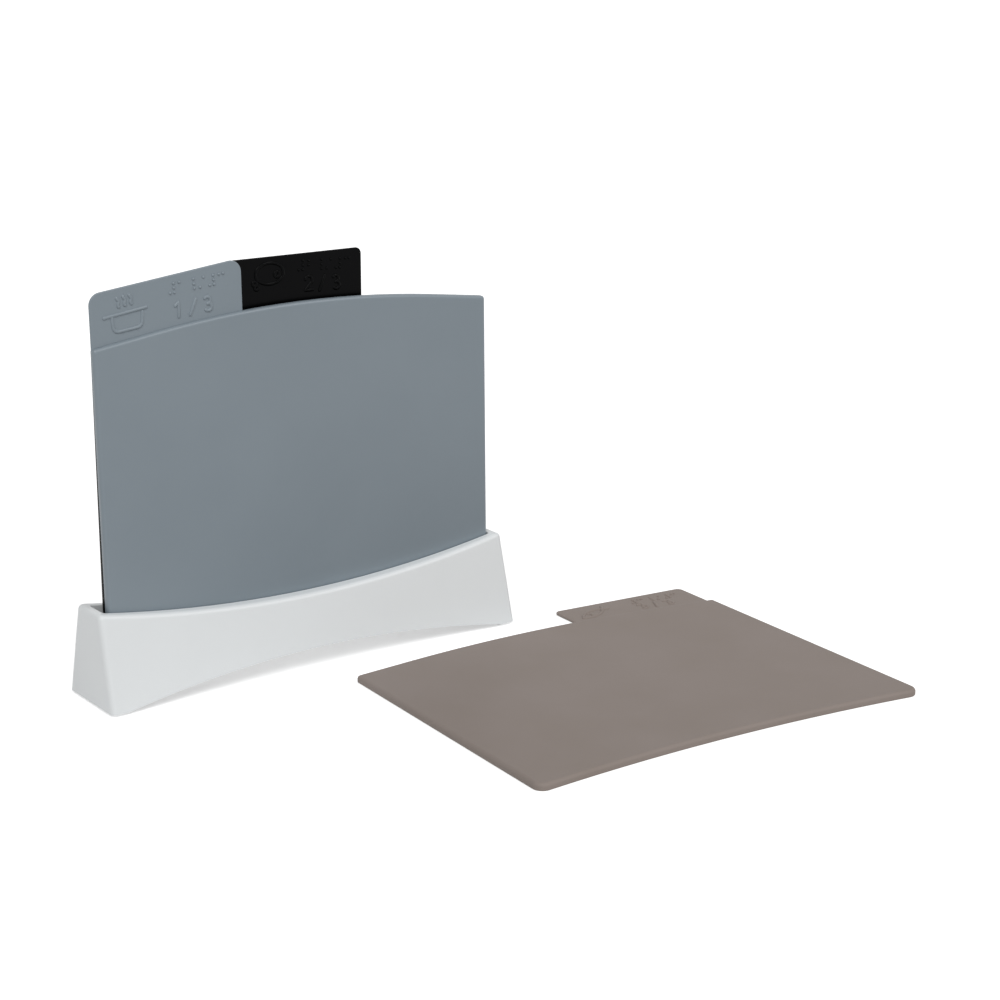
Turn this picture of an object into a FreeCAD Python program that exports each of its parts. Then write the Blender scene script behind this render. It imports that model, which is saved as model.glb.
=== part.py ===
"""Three index cutting boards and the moulded holder that they stand in.

The holder is one moulding on two soft feet: a skirt that flares towards the table, a rim that dips in the
middle, and a trough with an arched floor. Each board is one moulding: a main cutting layer with a thinner
index tab on its top edge. Two boards stand in the trough and the third lies on the table.

Millimetres. X runs along the holder, Y from front to back and Z up, with the table at Z = 0. Everything is
first built about the middle of the trough's front board, then moved so that the origin is under the middle
of the whole set.
"""
import FreeCAD, Part
import math
import os

from FreeCAD import Vector

# ---- boards ------------------------------------------------------------------------------------------
BOARD_WIDTH = 250.0          # across the board
BOARD_SIDE = 186.7           # straight side edges of the main layer
TOP_STRAIGHT = 37.0          # straight run at each end of the bowed top edge
TOP_SLOPE = 7.7              # degrees that these straight runs fall towards the sides
BOTTOM_RISE = 7.6            # how far the bottom edge arches up in the middle
BOARD_THICK = 4.2            # main cutting layer
TOP_CORNER_R = 2.2           # upper corners of the main layer
BOTTOM_CORNER_R = 6.0        # lower corners of the main layer
FRONT_EDGE_R = 2.0           # rounding around the cutting face
BACK_EDGE_R = 0.8            # rounding around the back face

TAB_THICK = 1.6              # plate of the index tab
TAB_SKIN = 0.2               # the plate lies this far inside the skin of the main layer
TAB_ROOT = 12.0              # how far the plate reaches down inside the main layer
LEFT_TAB_TOP = 225.4         # inner tip of the left tab above the board's lower corners
MIDDLE_TAB_TOP = 225.0
RIGHT_TAB_TOP = 224.8        # inner tip of the right tab
LEFT_TAB_SLOPE = 6.3         # degrees that the left tab's top falls towards the board's side
RIGHT_TAB_SLOPE = 2.6
LEFT_TAB_OUTER_R = 7.0       # top corner of the left tab, at the board's side
LEFT_TAB_INNER_R = 6.5
RIGHT_TAB_OUTER_R = 4.0      # top corner of the right tab, at the board's side
TAB_CORNER_R = 3.5           # the other top corners of the tabs
LEFT_TAB_WIDTH = 90.5        # left tab, from the board's side edge
MIDDLE_TAB_WIDTH = 84.6
RIGHT_TAB_WIDTH = 92.0       # right tab, from the board's side edge

# ---- how the boards stand and lie --------------------------------------------------------------------
BOARD_PLACES = 3             # boards that the trough takes
BOARD_GAP = 0.3              # between two boards that stand side by side
FRONT_GAP = 0.5              # between the front board and the front wall of the trough
SEAT_GAP = 0.35              # between the trough's floor and a standing board
GREY_LEAN = -0.2             # degrees that the front board leans to the right, so it leans to the left
GREY_ASIDE = 1.25            # how far right of the middle the front board stands
BLACK_LEAN = 0.4             # the same for the second board, which leans to the right
BLACK_ASIDE = 1.45
LYING_TURN = -3.44           # degrees that the lying board is turned on the table
LYING_GAP = 24.1             # from the skirt's front to the main layer of the lying board
TAB_PAST_END = 28.7          # from the skirt's right end to the lying board's tab

# ---- holder ------------------------------------------------------------------------------------------
END_GAP = 2.2                # between a board's side edge and the end of the trough
SPARE_ROOM = 2.7             # free room in the trough behind the board places
TROUGH_CORNER_R = 2.0
FLOOR_END = 7.6              # trough floor above the table, under a board's lower corners
FRONT_SEAT = 2.2             # how much higher the floor is in the front board's place
FLOOR_THICK = 2.5
TROUGH_WALL = 2.5
RIM_WIDTH = 5.2              # front and back rim, from the trough to the outside
END_RIM_WIDTH = 5.1          # the same at the two ends
RIM_END = 54.6               # top of the rim at the ends
RIM_DIP = 11.9               # how much lower the rim is in the middle
RIM_DEPTH = 4.5              # solid height of the rim over the hollow of the skirt
RIM_OUTER_R = 2.8            # rounding of the rim's outer edge
RIM_INNER_R = 0.6            # rounding of the rim's inner edge
FLARE_Y = 13.1               # how far the front and back lean out between rim and table
FLARE_X = 1.1                # the same for the ends
OUTER_CORNER_R = 3.5         # upright corners of the skirt
SKIRT_WALL = 2.6
ARCH_RISE = 11.1             # how far the lower edge arches up between the feet
FOOT_LENGTH = 6.3
FOOT_INSET = 4.0             # from the skirt's lower edge in to a foot
FOOT_THICK = 1.5
FOOT_CORNER_R = 1.8
RIB_THICK = 1.8              # ribs that tie the skirt to the trough
RIB_PITCH = 50.0
RIB_LIFT = 4.0               # from the skirt's lower edge up to a rib
GUIDE_REACH = 7.0            # guide ribs, from the end of the trough inwards
GUIDE_NOSE_R = 0.8           # their inner front edge
GUIDE_DROP = 9.0             # from the top of the rim's ends down to a guide rib

# ---- worked out from the sizes above -----------------------------------------------------------------
HALF_BOARD = BOARD_WIDTH / 2
TOP_BOW = HALF_BOARD - TOP_STRAIGHT
PITCH = BOARD_THICK + BOARD_GAP
TROUGH_X = HALF_BOARD + END_GAP
TROUGH_FRONT = -FRONT_GAP
GUIDE_FRONT = BOARD_PLACES * PITCH
TROUGH_BACK = GUIDE_FRONT + SPARE_ROOM
TROUGH_Y = (TROUGH_BACK - TROUGH_FRONT) / 2
HOLDER_Y = (TROUGH_FRONT + TROUGH_BACK) / 2
RIM_X = TROUGH_X + END_RIM_WIDTH
RIM_Y = TROUGH_Y + RIM_WIDTH
BASE_X = RIM_X + FLARE_X
BASE_Y = RIM_Y + FLARE_Y
FOOT_X = BASE_X - FOOT_INSET - FOOT_LENGTH
FRONT_SEAT_BACK = PITCH - BOARD_GAP / 2
TALL = 1.5 * RIM_END

LEFT, MIDDLE, RIGHT = -1, 0, 1


# ---- helpers -----------------------------------------------------------------------------------------
def box(x0, x1, y0, y1, z0, z1):
    return Part.makeBox(x1 - x0, y1 - y0, z1 - z0, Vector(x0, y0, z0))


def holder_box(half_x, half_y, z0, z1):
    """Box centred on the holder, seen from above."""
    return box(-half_x, half_x, HOLDER_Y - half_y, HOLDER_Y + half_y, z0, z1)


def arc_radius(half_chord, rise):
    return (half_chord ** 2 + rise ** 2) / (2 * rise)


def cylinder_along_y(radius, centre_z):
    """Cylinder through the whole holder from front to back."""
    length = 4 * BASE_Y
    return Part.makeCylinder(radius, length, Vector(0, HOLDER_Y - length / 2, centre_z), Vector(0, 1, 0))


def all_points(edge):
    start, step = edge.FirstParameter, (edge.LastParameter - edge.FirstParameter) / 4
    return [edge.valueAt(start + k * step) for k in range(5)]


def edges_that(shape, test):
    """Edges of the shape whose every point passes the test."""
    return [edge for edge in shape.Edges if all(test(point) for point in all_points(edge))]


def close(a, b):
    return abs(a - b) < 1e-4


def upright_edges(shape):
    """Edges that run up the shape, straight or leaning a little."""
    return [edge for edge in shape.Edges if abs(edge.tangentAt(edge.FirstParameter).z) > 0.9]


# ---- boards ------------------------------------------------------------------------------------------
def main_layer():
    """The slab that is cut on: bowed top, arched bottom, rounded all round. Its front face is at Y = 0."""
    x, slope = HALF_BOARD, math.radians(TOP_SLOPE)
    bow_z = BOARD_SIDE + TOP_STRAIGHT * math.tan(slope)
    low_left, low_mid, low_right = Vector(-x, 0, 0), Vector(0, 0, BOTTOM_RISE), Vector(x, 0, 0)
    top_left, top_right = Vector(-x, 0, BOARD_SIDE), Vector(x, 0, BOARD_SIDE)
    bow_left, bow_right = Vector(-TOP_BOW, 0, bow_z), Vector(TOP_BOW, 0, bow_z)
    bow_mid = Vector(0, 0, bow_z + TOP_BOW * math.tan(slope / 2))
    outline = Part.Wire([
        Part.Arc(low_left, low_mid, low_right).toShape(),
        Part.makeLine(low_right, top_right),
        Part.makeLine(top_right, bow_right),
        Part.Arc(bow_right, bow_mid, bow_left).toShape(),
        Part.makeLine(bow_left, top_left),
        Part.makeLine(top_left, low_left),
    ])
    slab = Part.Face(outline).extrude(Vector(0, BOARD_THICK, 0))
    for radius, z in ((TOP_CORNER_R, BOARD_SIDE), (BOTTOM_CORNER_R, 0)):
        slab = slab.makeFillet(radius, edges_that(slab, lambda p: close(abs(p.x), x) and close(p.z, z)))
    front_r = min(FRONT_EDGE_R, 0.63 * BOARD_THICK)
    back_r = min(BACK_EDGE_R, 0.33 * BOARD_THICK)
    slab = slab.makeFillet(front_r, edges_that(slab, lambda p: close(p.y, 0)))
    return slab.makeFillet(back_r, edges_that(slab, lambda p: close(p.y, BOARD_THICK)))


def tab_tips(side):
    """Top corners of a tab, left then right, each with its corner radius."""
    if side == MIDDLE:
        half = MIDDLE_TAB_WIDTH / 2
        return [(-half, MIDDLE_TAB_TOP, TAB_CORNER_R), (half, MIDDLE_TAB_TOP, TAB_CORNER_R)]
    at_side = HALF_BOARD - TAB_SKIN
    if side == LEFT:
        fall = LEFT_TAB_WIDTH * math.tan(math.radians(LEFT_TAB_SLOPE))
        return [(-at_side, LEFT_TAB_TOP - fall, LEFT_TAB_OUTER_R),
                (LEFT_TAB_WIDTH - HALF_BOARD, LEFT_TAB_TOP, LEFT_TAB_INNER_R)]
    fall = RIGHT_TAB_WIDTH * math.tan(math.radians(RIGHT_TAB_SLOPE))
    return [(HALF_BOARD - RIGHT_TAB_WIDTH, RIGHT_TAB_TOP, TAB_CORNER_R),
            (at_side, RIGHT_TAB_TOP - fall, RIGHT_TAB_OUTER_R)]


def tab_plate(side):
    """Thin plate of the index tab, with its root buried in the main layer."""
    (x0, z0, r0), (x1, z1, r1) = tab_tips(side)
    back = BOARD_THICK - TAB_SKIN
    root = BOARD_SIDE - TAB_ROOT
    corners = [Vector(x0, back, root), Vector(x1, back, root), Vector(x1, back, z1), Vector(x0, back, z0)]
    plate = Part.Face(Part.makePolygon(corners + corners[:1])).extrude(Vector(0, -TAB_THICK, 0))
    for x, z, radius in tab_tips(side):
        plate = plate.makeFillet(radius, edges_that(plate, lambda p: close(p.x, x) and close(p.z, z)))
    rims = edges_that(plate, lambda p: close(p.y, back) or close(p.y, back - TAB_THICK))
    return plate.makeFillet(min(BACK_EDGE_R - TAB_SKIN, 0.4 * TAB_THICK), rims)


def board(side):
    return main_layer().fuse(tab_plate(side)).removeSplitter()


def standing(shape, lean, aside, y, seat):
    """Stand a board on a seat of the trough's floor, resting on one of its lower corners."""
    lift = HALF_BOARD * math.sin(math.radians(abs(lean)))
    leaning = shape.rotated(Vector(0, 0, 0), Vector(0, 1, 0), lean)
    return leaning.translated(Vector(aside, y, seat + SEAT_GAP + lift))


def in_front_place(shape):
    """Stand a board on the raised seat at the front of the trough."""
    return standing(shape, GREY_LEAN, GREY_ASIDE, 0, FLOOR_END + FRONT_SEAT)


def in_second_place(shape):
    """Stand a board behind the first."""
    return standing(shape, BLACK_LEAN, BLACK_ASIDE, PITCH, FLOOR_END)


def face_up(shape):
    """Turn a board onto its back, with its lower edge towards the front."""
    flat = shape.rotated(Vector(0, 0, 0), Vector(1, 0, 0), -90).translated(Vector(0, 0, BOARD_THICK))
    return flat.rotated(Vector(0, 0, 0), Vector(0, 0, 1), LYING_TURN)


def lying(side):
    """The board on the table: clear of the skirt's front, with its tab past the skirt's right end."""
    tip_x, tip_z, _ = tab_tips(side)[0]
    tip = face_up(Part.Vertex(tip_x, 0, tip_z))
    shift_x = BASE_X + TAB_PAST_END - tip.X
    shift_y = HOLDER_Y - BASE_Y - LYING_GAP - face_up(main_layer()).optimalBoundingBox().YMax
    return face_up(board(side)).translated(Vector(shift_x, shift_y, 0))


# ---- holder ------------------------------------------------------------------------------------------
def sloped_block(inset):
    """Block with the skirt's sloping sides, from the table to above the rim, inset by a wall."""
    def half(base, flare, z):
        return base - flare * z / RIM_END - inset

    def prism(base, flare, place, way):
        low, high = half(base, flare, 0), half(base, flare, TALL)
        points = [place(-low, 0), place(low, 0), place(high, TALL), place(-high, TALL)]
        return Part.Face(Part.makePolygon(points + points[:1])).extrude(way)

    along = prism(BASE_X, FLARE_X, lambda a, z: Vector(a, HOLDER_Y - BASE_Y, z), Vector(0, 2 * BASE_Y, 0))
    across = prism(BASE_Y, FLARE_Y, lambda a, z: Vector(-BASE_X, HOLDER_Y + a, z), Vector(2 * BASE_X, 0, 0))
    return along.common(across)


def outer_block():
    block = sloped_block(0)
    return block.makeFillet(OUTER_CORNER_R, upright_edges(block))


def rim_radius():
    return arc_radius(RIM_X, RIM_DIP)


def above_rim(drop):
    """Everything above the dipped rim, or above a surface that lies `drop` under it."""
    return cylinder_along_y(rim_radius() + drop, RIM_END - RIM_DIP + rim_radius())


def on_rim(point):
    centre_z = RIM_END - RIM_DIP + rim_radius()
    return abs(math.hypot(point.x, point.z - centre_z) - rim_radius()) < 1e-3


def under_floor(drop):
    """Everything under the arched trough floor, or under a surface that lies `drop` below it."""
    radius = arc_radius(HALF_BOARD, BOTTOM_RISE)
    return cylinder_along_y(radius - drop, FLOOR_END + BOTTOM_RISE - radius)


def arch_height(x):
    """Lower edge of the skirt at x."""
    radius = arc_radius(FOOT_X, ARCH_RISE)
    return FOOT_THICK + ARCH_RISE - radius + math.sqrt(radius ** 2 - x ** 2)


def under_arch():
    radius = arc_radius(FOOT_X, ARCH_RISE)
    return cylinder_along_y(radius, FOOT_THICK + ARCH_RISE - radius)


def trough():
    """The space that the boards stand in, down to the arched floor and its raised front seat."""
    space = holder_box(TROUGH_X, TROUGH_Y, 0, TALL)
    space = space.makeFillet(TROUGH_CORNER_R, upright_edges(space)).cut(under_floor(0))
    return space.cut(under_floor(-FRONT_SEAT).common(box(-BASE_X, BASE_X, -BASE_Y, FRONT_SEAT_BACK, 0, TALL)))


def rib_places():
    """Middle of each rib along the holder, evenly spaced and the same on both halves."""
    per_side = int((FOOT_X - RIB_THICK) / RIB_PITCH)
    return [k * RIB_PITCH for k in range(-per_side, per_side + 1)]


def hollow():
    """Space inside the skirt, in front of and behind the trough, with the ribs left standing."""
    space = sloped_block(SKIRT_WALL).common(holder_box(FOOT_X, BASE_Y, 0, TALL))
    trough_shell = holder_box(BASE_X, TROUGH_Y + TROUGH_WALL, 0, TALL)
    space = space.cut(trough_shell.cut(under_floor(FLOOR_THICK))).cut(above_rim(RIM_DEPTH))
    for x in rib_places():
        rib = holder_box(RIB_THICK / 2, BASE_Y, arch_height(x) + RIB_LIFT, TALL)
        space = space.cut(rib.translated(Vector(x, 0, 0)))
    return space


def guide_rib(side):
    """Upright rib on the trough's back wall, at one end, that the third board rests against."""
    inner, outer = TROUGH_X - GUIDE_REACH, TROUGH_X + END_RIM_WIDTH / 2
    x0, x1 = (inner, outer) if side == RIGHT else (-outer, -inner)
    foot_z, top_z = FLOOR_END - FLOOR_THICK / 2, RIM_END - GUIDE_DROP
    rib = box(x0, x1, GUIDE_FRONT, TROUGH_BACK + TROUGH_WALL / 2, foot_z, top_z)
    nose = edges_that(rib, lambda p: close(p.x, side * inner) and close(p.y, GUIDE_FRONT))
    return rib.makeFillet(min(GUIDE_NOSE_R, 0.4 * SPARE_ROOM), nose)


def holder():
    body = outer_block().cut(above_rim(0))
    rim_r = min(RIM_OUTER_R, 0.9 * OUTER_CORNER_R, 0.7 * RIM_WIDTH)
    body = body.makeFillet(rim_r, edges_that(body, on_rim))
    body = body.common(holder_box(BASE_X, BASE_Y, FOOT_THICK, TALL)).cut(under_arch())
    body = body.cut(trough())
    mouth = edges_that(body, lambda p: on_rim(p) and abs(p.x) < TROUGH_X + 1e-3
                       and abs(p.y - HOLDER_Y) < TROUGH_Y + 1e-3)
    body = body.makeFillet(RIM_INNER_R, mouth)
    body = body.cut(hollow())
    return body.fuse([guide_rib(LEFT), guide_rib(RIGHT)]).removeSplitter()


def foot(side):
    """Soft strip under one end of the holder, set in a little from the skirt's lower edge."""
    x0, x1 = (FOOT_X, BASE_X - FOOT_INSET) if side == RIGHT else (FOOT_INSET - BASE_X, -FOOT_X)
    half_y = BASE_Y - FOOT_INSET
    strip = box(x0, x1, HOLDER_Y - half_y, HOLDER_Y + half_y, 0, FOOT_THICK)
    return strip.makeFillet(FOOT_CORNER_R, upright_edges(strip))


# ---- the set -----------------------------------------------------------------------------------------
def build():
    pieces = {
        "holder": holder(),
        "foot_left": foot(LEFT),
        "foot_right": foot(RIGHT),
        "grey_board": in_front_place(board(LEFT)),
        "black_board": in_second_place(board(MIDDLE)),
        "taupe_board": lying(RIGHT),
    }
    whole = Part.makeCompound(list(pieces.values())).optimalBoundingBox()
    origin = Vector(-whole.Center.x, -whole.Center.y, -whole.ZMin)
    print("holder's middle and the table in the final frame:", origin)
    return {name: shape.translated(origin) for name, shape in pieces.items()}


os.makedirs("parts", exist_ok=True)
for name, shape in build().items():
    solid = shape.Solids[0]
    print(name, len(shape.Solids), "solid", shape.isValid(), round(solid.Volume / 1000, 2), "cm3")
    solid.exportStep("parts/" + name + ".step")
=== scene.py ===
# %% [markdown]
# # Three index cutting boards and their holder
#
# The object is a set for a kitchen: thin plastic cutting boards, each with a thin tab on its top edge, and
# a white moulded holder that they stand in. One board is for cooked food, one for meat and one for fish.
# The tabs tell them apart by eye and by touch, with a raised picture, a raised number and a row of braille.
#
# The rigid bodies come ready-made from the CAD frame. This lesson gives them their plastics, adds the
# raised marks to the tabs, and sets up a plain studio around them. Lengths are in metres in the scene.
# Where a size is easier to read in millimetres, it is multiplied by MM. The marks are drawn in millimetres
# and scaled as a whole when they go onto their board.

import bmesh
import bpy
from math import cos, radians, sin
from mathutils import Matrix, Vector


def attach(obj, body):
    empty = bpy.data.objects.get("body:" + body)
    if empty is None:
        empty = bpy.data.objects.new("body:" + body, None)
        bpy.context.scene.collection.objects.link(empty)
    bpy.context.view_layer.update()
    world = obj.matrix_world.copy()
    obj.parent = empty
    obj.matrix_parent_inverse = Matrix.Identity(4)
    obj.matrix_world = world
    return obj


MM = 0.001
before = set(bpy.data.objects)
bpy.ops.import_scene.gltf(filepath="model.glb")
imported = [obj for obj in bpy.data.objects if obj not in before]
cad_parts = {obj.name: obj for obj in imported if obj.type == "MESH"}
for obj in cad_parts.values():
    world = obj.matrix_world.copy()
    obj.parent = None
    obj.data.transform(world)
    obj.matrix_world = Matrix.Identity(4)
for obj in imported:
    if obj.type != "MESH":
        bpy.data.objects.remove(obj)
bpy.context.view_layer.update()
print("nodes:", sorted(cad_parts))

# %% [markdown]
# ## The camera
#
# The view is from the left and a little above, from well back, so the upright board keeps nearly parallel
# sides. A camera could be aimed with a tracking constraint, but three angles and a place say the same thing
# and need no helper object: turn about the vertical, tilt down, and a slight roll.

# %% Place the camera
CAMERA_PLACE = Vector((-0.67766, -0.94138, 0.43702))
CAMERA_TURN = -35.703                # degrees about the vertical, and a negative turn looks to the right
CAMERA_TILT = 15.767                 # degrees that it looks down
CAMERA_ROLL = -0.201                 # degrees, and a negative roll is clockwise from behind the camera
FOCAL_SHARE = 2.2349                 # focal length over the picture's width
SENSOR_WIDTH = 36.0                  # mm
VIEW_DEPTH = 20.0                    # metres


def make_camera():
    turn = Matrix.Rotation(radians(CAMERA_TURN), 4, "Z")
    tilt = Matrix.Rotation(radians(90 - CAMERA_TILT), 4, "X")
    roll = Matrix.Rotation(radians(CAMERA_ROLL), 4, "Z")
    data = bpy.data.cameras.new("camera")
    data.sensor_width = SENSOR_WIDTH
    data.lens = FOCAL_SHARE * SENSOR_WIDTH
    data.clip_end = VIEW_DEPTH
    camera = bpy.data.objects.new("camera", data)
    camera.matrix_world = Matrix.Translation(CAMERA_PLACE) @ turn @ tilt @ roll
    bpy.context.scene.collection.objects.link(camera)
    bpy.context.scene.camera = camera
    print("lens in mm:", round(data.lens, 1))


make_camera()

# %% [markdown]
# ## Two helpers for materials
#
# A colour on a screen is written as a hex value, but a shader works with linear light. One function turns
# the first into the second. Another adds a node to a tree, with its settings and its links, so that a
# material reads as a short list.

# %% Helpers for materials
WHITE = "#FFFFFF"


def linear(hex_value):
    """An sRGB hex value as a linear colour with full alpha."""
    shares = [int(hex_value[i:i + 2], 16) / 255 for i in (1, 3, 5)]
    return tuple(s / 12.92 if s <= 0.04045 else ((s + 0.055) / 1.055) ** 2.4 for s in shares) + (1.0,)


def add_node(tree, kind, inputs=None, **settings):
    """A node of that kind. An input is given a plain value, or the socket that it is linked to."""
    node = tree.nodes.new(kind)
    for name, value in settings.items():
        setattr(node, name, value)
    for name, value in (inputs or {}).items():
        if isinstance(value, bpy.types.NodeSocket):
            tree.links.new(value, node.inputs[name])
        else:
            node.inputs[name].default_value = value
    return node


print("white in linear light:", linear(WHITE))

# %% [markdown]
# ## The boards' plastic
#
# The boards are polypropylene, injection-moulded in a tool with a fine spark-eroded grain. To the eye that
# is an even colour with at most a soft, wide sheen, and a slight unevenness where the plastic flowed. The
# real grain is a few tenths of a millimetre, too fine to show from here, so it is drawn 0.9 mm wide and
# shallow. A wide, faint noise shifts the colour by a hair, as flow marks do. The Object coordinates keep
# both patterns fixed to the board.
#
# The sheen is the shader's Specular IOR Level. At 0.5 the plastic reflects as its IOR says, and the grey
# board does. The grain of the other two swallows nearly all of that, so they get very low values and stay
# matt.

# %% Grained polypropylene
GRAIN_WIDTH = 0.9 * MM
GRAIN_DEPTH = 0.03 * MM
GRAIN_DETAIL = 2.0
GRAIN_STRENGTH = 0.4
FLOW_WIDTH = 60 * MM
FLOW_DETAIL = 3.0
DARK_BELOW, LIGHT_ABOVE = 0.3, 0.7   # values of the flow noise where the two shades are reached
PLASTIC_IOR = 1.49
FULL_SHEEN = 0.5


def moulded_plastic(name, dark, light, roughness, sheen=FULL_SHEEN):
    """A moulded plastic with a fine grain. Its colour wanders between two close shades."""
    material = bpy.data.materials.new(name)
    material.use_nodes = True
    tree = material.node_tree
    tree.nodes.clear()
    place = add_node(tree, "ShaderNodeTexCoord").outputs["Object"]
    flow = add_node(tree, "ShaderNodeTexNoise", {
        "Vector": place, "Scale": 1 / FLOW_WIDTH, "Detail": FLOW_DETAIL})
    shade = add_node(tree, "ShaderNodeValToRGB", {"Fac": flow.outputs["Fac"]})
    for element, value, colour in zip(shade.color_ramp.elements, (DARK_BELOW, LIGHT_ABOVE), (dark, light)):
        element.position = value
        element.color = linear(colour)
    grain = add_node(tree, "ShaderNodeTexNoise", {
        "Vector": place, "Scale": 1 / GRAIN_WIDTH, "Detail": GRAIN_DETAIL})
    bump = add_node(tree, "ShaderNodeBump", {
        "Height": grain.outputs["Fac"], "Strength": GRAIN_STRENGTH, "Distance": GRAIN_DEPTH})
    surface = add_node(tree, "ShaderNodeBsdfPrincipled", {
        "Base Color": shade.outputs["Color"], "Roughness": roughness, "IOR": PLASTIC_IOR,
        "Specular IOR Level": sheen, "Normal": bump.outputs["Normal"]})
    add_node(tree, "ShaderNodeOutputMaterial", {"Surface": surface.outputs["BSDF"]})
    return material


grey_polypropylene = moulded_plastic("grey grained polypropylene", "#828D95", "#859098", 0.36)
black_polypropylene = moulded_plastic("black grained polypropylene", "#050506", "#070708", 0.24, 0.055)
taupe_polypropylene = moulded_plastic("taupe grained polypropylene", "#968B84", "#9A8F89", 0.42, 0.03)
print("materials:", [m.name for m in (grey_polypropylene, black_polypropylene, taupe_polypropylene)])

# %% [markdown]
# ## The holder's plastic and the feet
#
# The holder is white ABS from a smoother tool: a satin surface with a fuller sheen than the two matt
# boards. The two feet are a soft white elastomer, darker and duller than the holder. Neither has a visible
# pattern, so the same moulding recipe is used with two very close whites and a higher or lower roughness.

# %% Satin ABS and soft elastomer
holder_abs = moulded_plastic("white satin moulded ABS", "#E8EBEC", "#EAEDEE", 0.38)
foot_elastomer = moulded_plastic("white soft elastomer", "#CFD0CF", "#D2D3D2", 0.7, 0.35)

BODY_MATERIALS = {
    "holder": holder_abs,
    "foot_left": foot_elastomer,
    "foot_right": foot_elastomer,
    "grey_board": grey_polypropylene,
    "black_board": black_polypropylene,
    "taupe_board": taupe_polypropylene,
}


def give_material(thing, material):
    thing.data.materials.clear()
    thing.data.materials.append(material)


for node_name, body_material in BODY_MATERIALS.items():
    give_material(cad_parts[node_name], body_material)
print("painted:", ", ".join(BODY_MATERIALS))

# %% [markdown]
# ## A board's own axes
#
# The marks are easiest to place in a board's own axes: x from its middle, y from its cutting face inwards,
# and z up from its lower corners. Of the two boards that stand, the front one leans a hair to the left and
# the one behind it a hair to the right. The third lies on its back, turned a little on the table. Turning a
# copy of a board's corners back by the same rotation makes it upright and square again, and its lowest
# values then say where the board's own origin is.

# %% Find each board's axes
GREY_LEAN = -0.2                     # degrees to the right, so the grey board leans to the left
BLACK_LEAN = 0.4                     # degrees to the right
LYING_TURN = -3.44                   # degrees that the taupe board is turned on the table
LYING = Matrix.Rotation(radians(LYING_TURN), 4, "Z") @ Matrix.Rotation(radians(-90), 4, "X")


def board_axes(node_name, turn):
    """Matrix from a board's own axes to the scene's."""
    points = [turn.inverted() @ vertex.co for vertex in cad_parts[node_name].data.vertices]
    middle = (min(p.x for p in points) + max(p.x for p in points)) / 2
    origin = Vector((middle, min(p.y for p in points), min(p.z for p in points)))
    print(node_name, "origin in its own axes, mm:", [round(value / MM, 2) for value in origin])
    return turn @ Matrix.Translation(origin)


BOARD_AXES = {
    "grey_board": board_axes("grey_board", Matrix.Rotation(radians(GREY_LEAN), 4, "Y")),
    "black_board": board_axes("black_board", Matrix.Rotation(radians(BLACK_LEAN), 4, "Y")),
    "taupe_board": board_axes("taupe_board", LYING),
}

# %% [markdown]
# ## The section of a raised line
#
# Every picture and number on the tabs is a raised line of round section, moulded with the board. It could
# be a curve with a bevel, but a path of bmesh steps gives a clean closed mesh at once: a ring of edges
# stands across the line, and each step carries it on. The ring's middle lies a little behind the tab's
# front face, so that the line's sides meet the face at a slope, as a mould needs.
#
# The first helpers are a direction in the board's face, and a push that extrudes a ring and moves the new
# one.

# %% Push a ring of edges along
TAB_FACE = 2.4                       # mm from the board's cutting face back to the tab's front face
LINE_R = 1.05                        # mm, radius of a raised line
LINE_SUNK = 0.35                     # mm that its middle lies behind the tab's face


def along(heading):
    """Unit vector in the board's face for a heading in degrees from its x axis."""
    return Vector((cos(radians(heading)), 0, sin(radians(heading))))


def push_ring(mesh, ring, step):
    """Extrude a ring of edges and move the new ring by a step. Returns the new ring."""
    grown = bmesh.ops.extrude_edge_only(mesh, edges=ring)["geom"]
    points = [part for part in grown if isinstance(part, bmesh.types.BMVert)]
    bmesh.ops.translate(mesh, verts=points, vec=step)
    fresh = set(points)
    return [part for part in grown if isinstance(part, bmesh.types.BMEdge) and fresh.issuperset(part.verts)]


def ring_points(ring):
    return list({point for edge in ring for point in edge.verts})


print("a raised line stands proud by mm:", round(LINE_R - LINE_SUNK, 2))

# %% [markdown]
# ## The end of a raised line
#
# A line ends in a half ball. A ball could be joined on, but the ring that is already there makes it without
# a seam: it is pushed on in a few steps, and after each it is scaled to the ball's radius at that depth.
# The last ring is so small that merging close points turns it into the pole.

# %% Close an end with a dome
DOME_RINGS = 3
POLE_R = 1e-4                        # mm, radius of the last ring


def close_with_dome(mesh, ring, middle, heading):
    """Close the end of a line with a half ball."""
    size = LINE_R
    for k in range(1, DOME_RINGS + 1):
        angle = radians(90 * k / DOME_RINGS)
        step = LINE_R * (sin(angle) - sin(angle - radians(90 / DOME_RINGS)))
        ring = push_ring(mesh, ring, along(heading) * step)
        middle = middle + along(heading) * step
        wanted = max(LINE_R * cos(angle), POLE_R)
        shift = Matrix.Translation(-middle)
        bmesh.ops.scale(mesh, vec=Vector((1, 1, 1)) * (wanted / size), space=shift, verts=ring_points(ring))
        size = wanted


print("rings in a dome:", DOME_RINGS)

# %% [markdown]
# ## A whole raised line
#
# A path is written as a start, a heading in degrees and a list of steps. A step is a length in millimetres,
# or a pair of a bend radius and the degrees to turn, to the left when positive. A straight step pushes the
# ring, and a bend spins it about the bend's centre. A closed line comes back to its own start, and has no
# domes.

# %% Draw a raised line
LINE_SIDES = 12
BEND_STEP = 15                       # degrees of a bend between two rings


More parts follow.
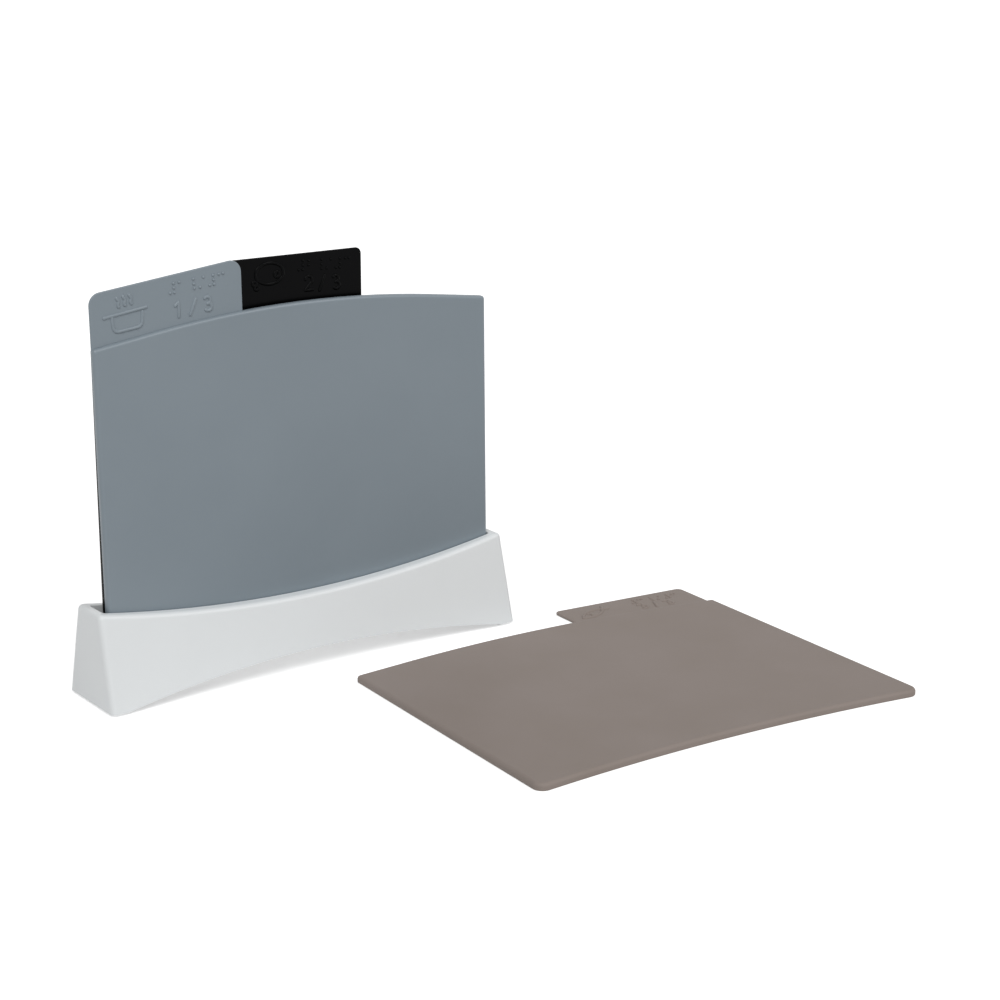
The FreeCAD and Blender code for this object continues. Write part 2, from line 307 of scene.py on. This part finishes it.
def raised_line(mesh, start, heading, steps, closed=False):
    """Draw one raised line in a board's own axes, in mm."""
    middle = Vector((start[0], TAB_FACE + LINE_SUNK, start[1]))
    across = Matrix.Translation(middle) @ Matrix.Rotation(radians(90 - heading), 4, "Y")
    bmesh.ops.create_circle(mesh, radius=LINE_R, segments=LINE_SIDES, matrix=across)
    mesh.edges.ensure_lookup_table()
    ring = mesh.edges[-LINE_SIDES:]
    if not closed:
        close_with_dome(mesh, ring, middle, heading + 180)
    for step in steps:
        if isinstance(step, tuple):
            radius, turn = step
            side = 1 if turn > 0 else -1
            centre = middle + along(heading + 90) * radius * side
            spun = bmesh.ops.spin(mesh, geom=ring + ring_points(ring), cent=centre, axis=(0, -1, 0),
                                  angle=radians(turn), steps=max(2, round(abs(turn) / BEND_STEP)))
            ring = [part for part in spun["geom_last"] if isinstance(part, bmesh.types.BMEdge)]
            middle = centre + Matrix.Rotation(radians(-turn), 3, "Y") @ (middle - centre)
            heading += turn
        else:
            ring = push_ring(mesh, ring, along(heading) * step)
            middle = middle + along(heading) * step
    if not closed:
        close_with_dome(mesh, ring, middle, heading)


print("sides of a line:", LINE_SIDES, "and degrees between rings in a bend:", BEND_STEP)

# %% [markdown]
# ## From a mesh to a finished mark
#
# All the lines of one picture are drawn into one mesh in the board's own axes. This last helper merges the
# points that lie on each other, turns the faces outwards, and takes the mesh from millimetres in the
# board's axes to metres where the board is. The mark is of the board's own plastic and rides with it.
# Counting the edges that don't lie between exactly two faces shows whether the mesh is closed.

# %% Hand the marks to a board
MERGE_WITHIN = 1e-3                  # mm


def marks_object(name, mesh, board):
    """Close the seams, put the marks on their board and hand them to its body."""
    bmesh.ops.remove_doubles(mesh, verts=mesh.verts, dist=MERGE_WITHIN)
    bmesh.ops.recalc_face_normals(mesh, faces=mesh.faces)
    bmesh.ops.transform(mesh, matrix=BOARD_AXES[board] @ Matrix.Scale(MM, 4), verts=mesh.verts)
    data = bpy.data.meshes.new(name)
    open_edges = sum(not edge.is_manifold for edge in mesh.edges)
    mesh.to_mesh(data)
    mesh.free()
    data.shade_smooth()
    thing = bpy.data.objects.new(name, data)
    bpy.context.scene.collection.objects.link(thing)
    give_material(thing, BODY_MATERIALS[board])
    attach(thing, board)
    print(name, "faces", len(data.polygons), "open edges", open_edges)


print("points closer than this are merged, mm:", MERGE_WITHIN)

# %% [markdown]
# ## The cooking pot on the grey tab
#
# The grey board is for cooked food. Its picture is a cooking pot with a wide rim, a bowl with rounded lower
# corners, and three wisps of steam. It lies along the tab's sloping top edge. The rim is one straight line.
# The bowl is one line with two bends, and a wisp is three short bends to and fro.

# %% Draw the cooking pot
POT_SLOPE = 7.4                      # degrees
POT_RIM_LEFT = (-116.9, 201.5)
POT_RIM_LENGTH = 24.9
BOWL_LEFT = (-112.4, 201.8)
BOWL_HEADING = -85
BOWL_CORNER_R = 3.0
BOWL_STEPS = [5.7, (BOWL_CORNER_R, 91), 11.0, (BOWL_CORNER_R, 79), 5.4]
WISP_FEET = ((-107.9, 206.5), (-104.2, 207.0), (-100.6, 207.5))
WISP_HEADING = 145
WISP_STEPS = [(1.4, -90), (1.4, 90), (0.9, -60)]


def draw_cooking_pot():
    mesh = bmesh.new()
    raised_line(mesh, POT_RIM_LEFT, POT_SLOPE, [POT_RIM_LENGTH])
    raised_line(mesh, BOWL_LEFT, BOWL_HEADING, BOWL_STEPS)
    for foot in WISP_FEET:
        raised_line(mesh, foot, WISP_HEADING, WISP_STEPS)
    marks_object("cooking_pot_mark", mesh, "grey_board")


draw_cooking_pot()

# %% [markdown]
# ## The joint of meat on the black tab
#
# The black board is for meat. The picture is a joint of meat seen on its cut side: a large oval outline, a
# small ring inside it for the bone in the cut, and two knobs at the lower left where the bone ends. An oval
# is two flat bends and two tight ones that run on from each other, so the outline closes on its own start.

# %% Draw the joint of meat
OVAL_START = (-23.8, 218.8)
OVAL_HEADING = 34.4
FLAT_BEND, TIGHT_BEND = (12.03, -68.8), (4.6, -111.2)
BONE_RINGS = (((-12.4, 214.2), 1.5), ((-26.6, 210.2), 1.2), ((-25.4, 207.9), 1.2))


def draw_joint_of_meat():
    mesh = bmesh.new()
    raised_line(mesh, OVAL_START, OVAL_HEADING, [FLAT_BEND, TIGHT_BEND] * 2, closed=True)
    for middle, radius in BONE_RINGS:
        leftmost = (middle[0] - radius, middle[1])
        raised_line(mesh, leftmost, 90, [(radius, -180)] * 2, closed=True)
    marks_object("joint_of_meat_mark", mesh, "black_board")


draw_joint_of_meat()

# %% [markdown]
# ## The fish on the taupe tab
#
# The taupe board is for fish. The fish climbs to the right. Two long bends meet at the snout and cross near
# the tail, where each runs out into a fin. A short bend is the gill.

# %% Draw the fish
FISH_CLIMB = 24                      # degrees
SNOUT = (41.0, 203.6)
SNOUT_SPREAD = 55                    # degrees between the fish's middle line and a flank, at the snout
CHEEK_R, CHEEK_TURN = 4.0, 20        # mm and degrees
FLANK_R, FLANK_TURN = 16.5, 75
FIN_LENGTH = 4.2                     # mm
GILL_TOP = (47.6, 209.2)
GILL_LEAN = 60                       # degrees between the middle line and the gill, at the gill's top
GILL_BEND = (3.4, -65)


def draw_fish():
    mesh = bmesh.new()
    for side in (1, -1):
        flank = [(CHEEK_R, -side * CHEEK_TURN), (FLANK_R, -side * FLANK_TURN), FIN_LENGTH]
        raised_line(mesh, SNOUT, FISH_CLIMB + side * SNOUT_SPREAD, flank)
    raised_line(mesh, GILL_TOP, FISH_CLIMB - GILL_LEAN, [GILL_BEND])
    marks_object("fish_mark", mesh, "taupe_board")


draw_fish()

# %% [markdown]
# ## The numbers
#
# Beside its picture each tab carries a raised number: the board's place in the set of three, written 1/3,
# 2/3 or 3/3. A figure is a short list of strokes about its own lower left corner, each with a start, a
# heading and steps, so the same raised line draws them all. The row follows the bowed top edge of the board
# below it.

# %% Draw the numbers
FIGURE_STEP = 9.0                    # mm from one figure to the next
FIGURE_STROKES = {
    "1": [((0.9, 6.1), 38, [2.4]), ((2.8, 7.6), -90, [7.6])],
    "2": [((0.6, 6.0), 80, [(2.2, -215), 5.0]), ((0.5, 0.0), 0, [4.6])],
    "3": [((0.7, 6.7), 50, [(1.9, -225)]), ((2.6, 3.95), 0, [(2.05, -225)])],
    "/": [((0.6, -0.4), 66, [8.8])],
}
BOARD_NUMBERS = {"grey_board": "1/3", "black_board": "2/3", "taupe_board": "3/3"}
NUMBER_ROWS = {                      # first figure's lower left corner, and the row's slope in degrees
    "grey_board": ((-76.0, 197.2), 4.4),
    "black_board": ((5.0, 203.4), -2.6),
    "taupe_board": ((82.0, 199.6), -7.5),
}


def draw_number(board):
    mesh = bmesh.new()
    start, slope = NUMBER_ROWS[board]
    for k, figure in enumerate(BOARD_NUMBERS[board]):
        corner = Vector(start) + Vector((cos(radians(slope)), sin(radians(slope)))) * FIGURE_STEP * k
        for offset, heading, steps in FIGURE_STROKES[figure]:
            raised_line(mesh, corner + Vector(offset), heading, steps)
    marks_object(board.replace("board", "number_mark"), mesh, board)


for board_name in BOARD_NUMBERS:
    draw_number(board_name)

# %% [markdown]
# ## The cells of the braille
#
# Above the number the same is written in braille, to be read by touch. The figures take a number sign
# before them, and the first ten letters stand for the figures, so 1 is the letter a, 2 is b and 3 is c. The
# dots of a cell are numbered 1 to 3 down its left side and 4 to 6 down its right side.

# %% Spell a number in braille
NUMBER_SIGN = (3, 4, 5, 6)
SLASH = ((4, 5, 6), (3, 4))
BRAILLE_FIGURES = {"1": (1,), "2": (1, 2), "3": (1, 4)}


def braille_cells(text):
    """Cells of dots for a text of figures and slashes."""
    cells, in_number = [], False
    for sign in text:
        if sign == "/":
            cells.extend(SLASH)
            in_number = False
            continue
        if not in_number:
            cells.append(NUMBER_SIGN)
        cells.append(BRAILLE_FIGURES[sign])
        in_number = True
    return cells


print("cells of 1/3:", braille_cells("1/3"))

# %% [markdown]
# ## The dots of the braille
#
# A braille cell is two dots wide and three high, 2.5 mm apart, and the next cell starts 6 mm on. Each dot
# is a low dome. It is cut from a ball with a plane, so that its foot has the right width and no hidden half
# is left in the board. The cut lies a hair behind the tab's face, so that no gap shows under the dot.

# %% Draw the braille
CELL_PITCH = 6.0
DOT_PITCH = 2.5
DOT_BASE_R = 0.9
DOT_HEIGHT = 0.7
DOT_SUNK = 0.05                      # mm that the dot's flat back lies behind the tab's face
DOT_SIDES, DOT_RINGS = 12, 8
BALL_R = (DOT_BASE_R ** 2 + DOT_HEIGHT ** 2) / (2 * DOT_HEIGHT)
BRAILLE_ROWS = {                     # first cell's top left dot, and the row's slope in degrees
    "grey_board": ((-78.2, 215.3), 4.2),
    "black_board": ((1.8, 220.2), -2.3),
    "taupe_board": ((83.0, 215.6), -5.5),
}


def braille_dot(mesh, x, z):
    """A low dome on the tab's face."""
    old = set(mesh.verts)
    middle = Vector((x, TAB_FACE - DOT_HEIGHT + BALL_R, z))
    bmesh.ops.create_uvsphere(mesh, u_segments=DOT_SIDES, v_segments=DOT_RINGS, radius=BALL_R,
                              matrix=Matrix.Translation(middle) @ Matrix.Rotation(radians(90), 4, "X"))
    ball = [point for point in mesh.verts if point not in old]
    parts = ball + list({edge for point in ball for edge in point.link_edges})
    parts += list({face for point in ball for face in point.link_faces})
    cut = bmesh.ops.bisect_plane(mesh, geom=parts, plane_co=(x, TAB_FACE + DOT_SUNK, z), plane_no=(0, 1, 0),
                                 clear_outer=True)
    rim = [part for part in cut["geom_cut"] if isinstance(part, bmesh.types.BMEdge)]
    bmesh.ops.edgeloop_fill(mesh, edges=rim)


def draw_braille(board):
    mesh = bmesh.new()
    start, slope = BRAILLE_ROWS[board]
    right = Vector((cos(radians(slope)), sin(radians(slope))))
    down = Vector((right.y, -right.x))
    for k, cell in enumerate(braille_cells(BOARD_NUMBERS[board])):
        for dot in cell:
            column, row = divmod(dot - 1, 3)
            spot = Vector(start) + right * (k * CELL_PITCH + column * DOT_PITCH) + down * row * DOT_PITCH
            braille_dot(mesh, spot.x, spot.y)
    marks_object(board.replace("board", "braille_mark"), mesh, board)


for board_name in BOARD_NUMBERS:
    draw_braille(board_name)

# %% [markdown]
# ## The tent of light
#
# The background is white, and the world is a soft tent of light. The light is kept moderate, so that the
# plastics keep their written colours. Only the rays that look straight at the background, or see it in a
# reflection, find it white. Light Path tells those rays apart.

# %% Make the tent of light
TENT_LIGHT = 0.3


def sees_background(tree):
    """1 for a ray that looks at the background or sees it in a reflection, otherwise 0."""
    path = add_node(tree, "ShaderNodeLightPath")
    seen = path.outputs["Is Camera Ray"]
    for kind in ("Is Glossy Ray", "Is Transmission Ray"):
        both = add_node(tree, "ShaderNodeMath", operation="MAXIMUM")
        tree.links.new(seen, both.inputs[0])
        tree.links.new(path.outputs[kind], both.inputs[1])
        seen = both.outputs[0]
    return seen


def make_world():
    world = bpy.data.worlds.new("light tent")
    world.use_nodes = True
    tree = world.node_tree
    tree.nodes.clear()
    tent = add_node(tree, "ShaderNodeBackground", {"Color": linear(WHITE), "Strength": TENT_LIGHT})
    white = add_node(tree, "ShaderNodeBackground", {"Color": linear(WHITE), "Strength": 1.0})
    choice = add_node(tree, "ShaderNodeMixShader", {"Fac": sees_background(tree)})
    tree.links.new(tent.outputs[0], choice.inputs[1])
    tree.links.new(white.outputs[0], choice.inputs[2])
    add_node(tree, "ShaderNodeOutputWorld", {"Surface": choice.outputs[0]})
    bpy.context.scene.world = world


make_world()
bpy.context.scene.view_settings.view_transform = "Standard"
print("tent light:", TENT_LIGHT)

# %% [markdown]
# ## The table
#
# The set stands on a plain white table that runs on to the horizon, one large square. It glows a little for
# the rays that look at it, so that it goes over into the white background and still keeps the object's
# shadow. For the light that it throws back at the object it is plain pale paper.

# %% Lay the table
TABLE_SIZE = 40.0
TABLE_GLOW = 0.5
TABLE_BOUNCE = "#E8E8E8"


def white_paper():
    """White where it is seen, and pale paper for the light that it throws back."""
    paper = bpy.data.materials.new("white table paper")
    paper.use_nodes = True
    tree = paper.node_tree
    tree.nodes.clear()
    lit = add_node(tree, "ShaderNodeBsdfDiffuse", {"Color": linear(WHITE)})
    glow = add_node(tree, "ShaderNodeEmission", {"Color": linear(WHITE), "Strength": TABLE_GLOW})
    seen = add_node(tree, "ShaderNodeAddShader")
    tree.links.new(lit.outputs[0], seen.inputs[0])
    tree.links.new(glow.outputs[0], seen.inputs[1])
    bounce = add_node(tree, "ShaderNodeBsdfDiffuse", {"Color": linear(TABLE_BOUNCE)})
    sheet = add_node(tree, "ShaderNodeMixShader", {"Fac": sees_background(tree)})
    tree.links.new(bounce.outputs[0], sheet.inputs[1])
    tree.links.new(seen.outputs[0], sheet.inputs[2])
    add_node(tree, "ShaderNodeOutputMaterial", {"Surface": sheet.outputs[0]})
    return paper


def make_table():
    mesh = bmesh.new()
    bmesh.ops.create_grid(mesh, x_segments=1, y_segments=1, size=TABLE_SIZE / 2)
    data = bpy.data.meshes.new("table")
    mesh.to_mesh(data)
    mesh.free()
    table = bpy.data.objects.new("table", data)
    bpy.context.scene.collection.objects.link(table)
    give_material(table, white_paper())
    print("table in metres:", [round(side, 1) for side in table.dimensions])


make_table()

# %% [markdown]
# ## The lamps
#
# Two wide lamps stand in front of the set, as large softboxes do. The stronger one is on the left, the
# other on the right, and each fills the shadow of the other. Between them they also put a glint on the
# rounded edges that run from left to right. The lamps are suns, because their light is as strong far off as
# it is near.

# %% Set up the lamps
LEFT_LAMP = {"strength": 1.2, "azimuth": -40, "elevation": 46, "width": 40}
RIGHT_LAMP = {"strength": 0.68, "azimuth": 36, "elevation": 46, "width": 30}


def make_lamp(name, strength, azimuth, elevation, width):
    """A soft sun lamp. Its azimuth is 0 from the front and 90 from the right. All angles are in degrees."""
    data = bpy.data.lights.new(name, "SUN")
    data.energy = strength
    data.angle = radians(width)
    lamp = bpy.data.objects.new(name, data)
    spin = Matrix.Rotation(radians(azimuth), 4, "Z")
    lamp.matrix_world = spin @ Matrix.Rotation(radians(90 - elevation), 4, "X")
    bpy.context.scene.collection.objects.link(lamp)
    print(name, "energy", data.energy)


make_lamp("left lamp", **LEFT_LAMP)
make_lamp("right lamp", **RIGHT_LAMP)
